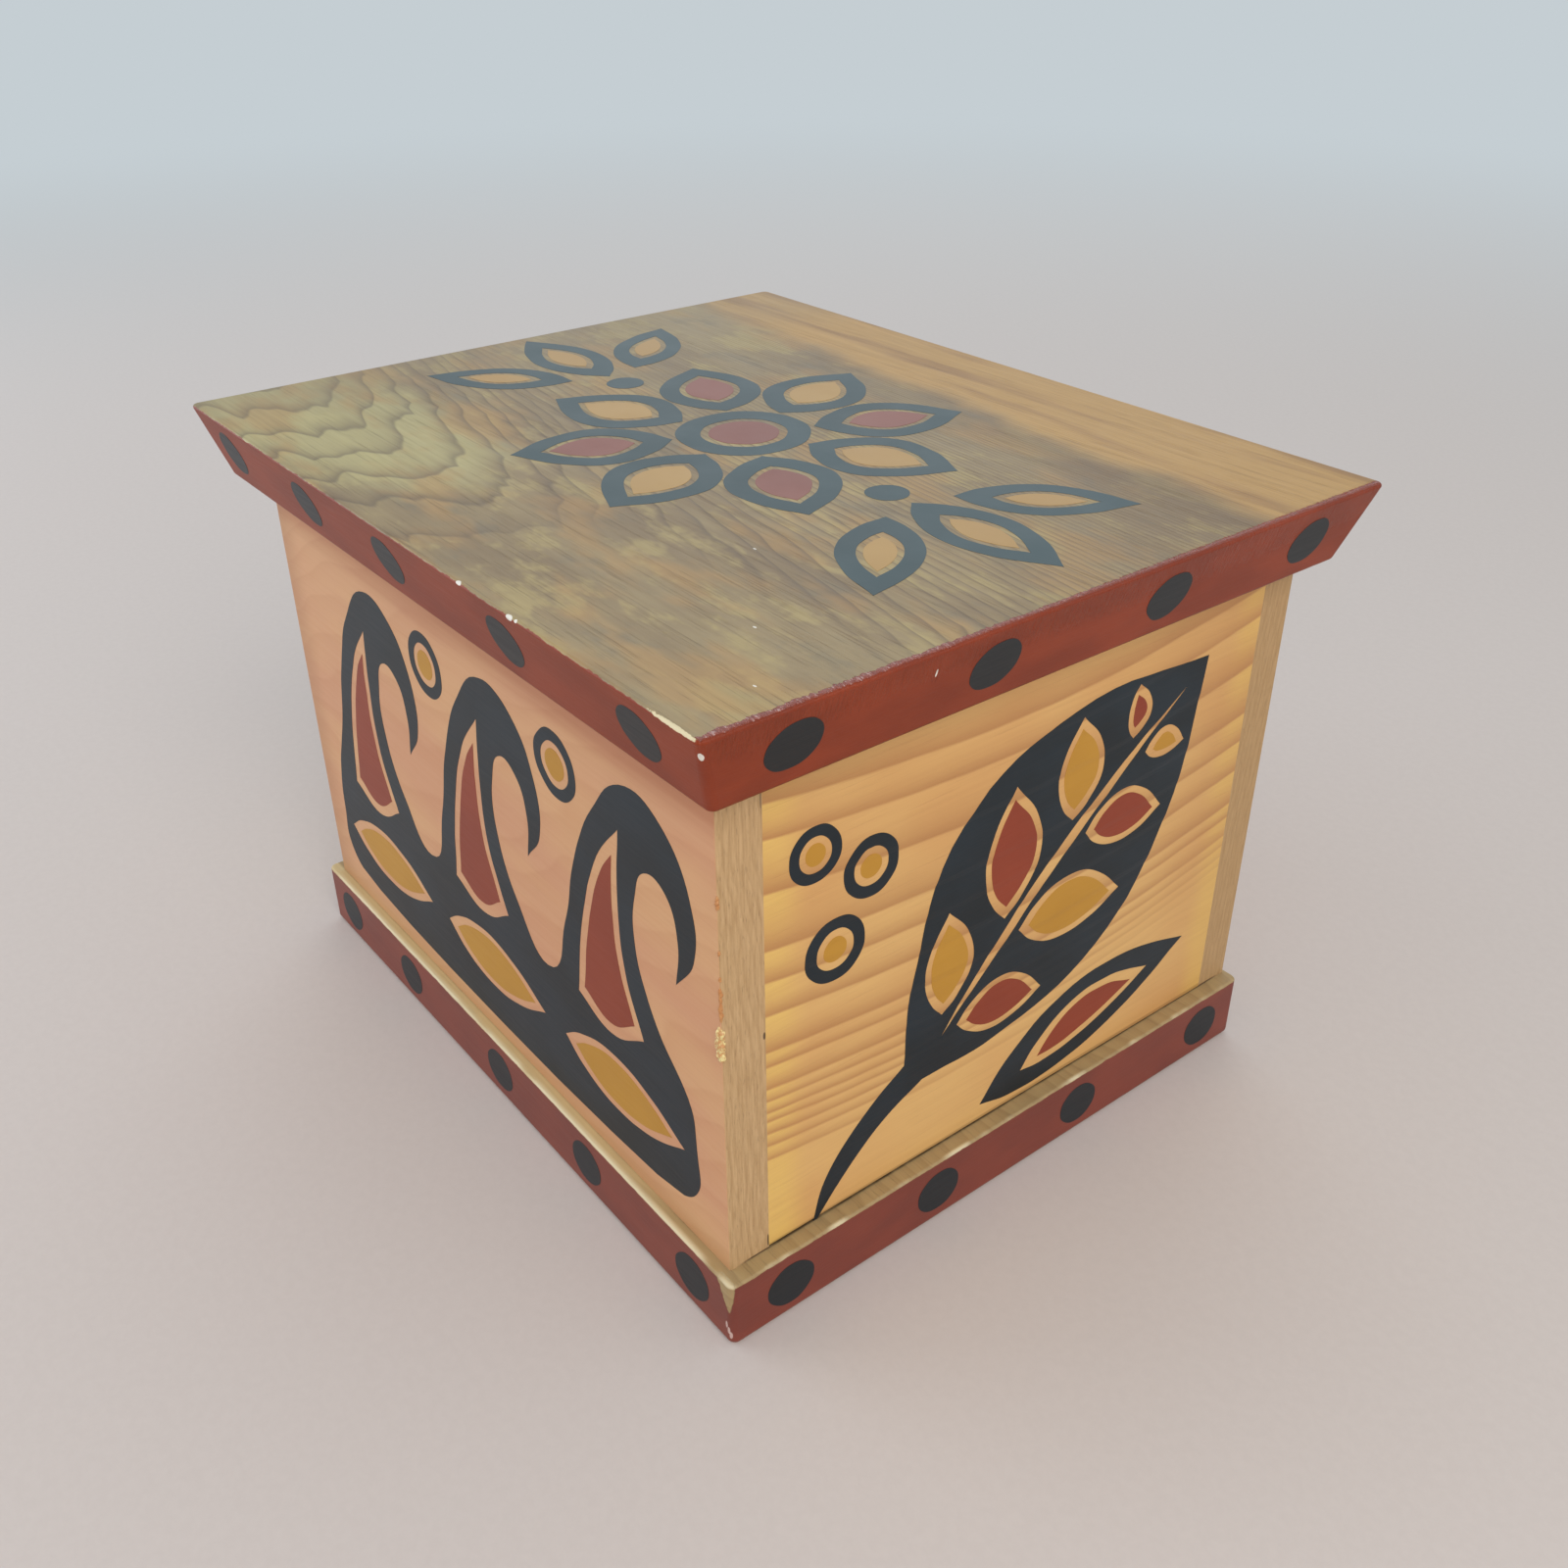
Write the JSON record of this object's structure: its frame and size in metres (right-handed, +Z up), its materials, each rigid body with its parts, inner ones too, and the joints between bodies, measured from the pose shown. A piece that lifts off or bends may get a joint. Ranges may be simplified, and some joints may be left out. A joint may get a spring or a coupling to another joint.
{
  "type": "wooden box with lift-off lid",
  "caption": "Rectangular wooden storage box of thick cedar boards: ledged base board, dowelled walls and a bevel-edged lift-off lid held by cleats.",
  "frame": {"origin": "on the base board's underside, below the middle of the four walls", "axes": "+X to the right along the front wall, +Y from the front wall to the back wall, +Z up"},
  "size_m": [0.3442, 0.2842, 0.244],
  "materials": {
    "cedar_red_edge": "satin",
    "cedar_wall": "satin",
    "cedar_end_panel": "satin",
    "cedar_lid": "satin",
    "cedar_cleat": "matte",
    "dowel_wood": "matte",
    "screw_steel": "satin",
    "black_paint": "satin",
    "red_paint": "satin",
    "ochre_paint": "satin",
    "dried_glue": "gloss"
  },
  "bodies": {
    "case": {"base_board": "cedar_red_edge", "front_wall": "cedar_wall", "back_wall": "cedar_wall", "left_end_panel": "cedar_end_panel", "right_end_panel": "cedar_end_panel", "corner_dowels": "dowel_wood", "base_screws": "screw_steel"},
    "lid": {"lid_board": "cedar_lid", "lid_cleat_front": "cedar_cleat", "lid_cleat_back": "cedar_cleat", "lid_cleat_left": "cedar_cleat", "lid_cleat_right": "cedar_cleat", "cleat_screws": "screw_steel"}
  },
  "joints": [
    {"name": "lid_lift", "type": "slide", "parent": "case", "child": "lid", "axis": [0, 0, 1], "range_m": [0, 0.16]}
  ]
}
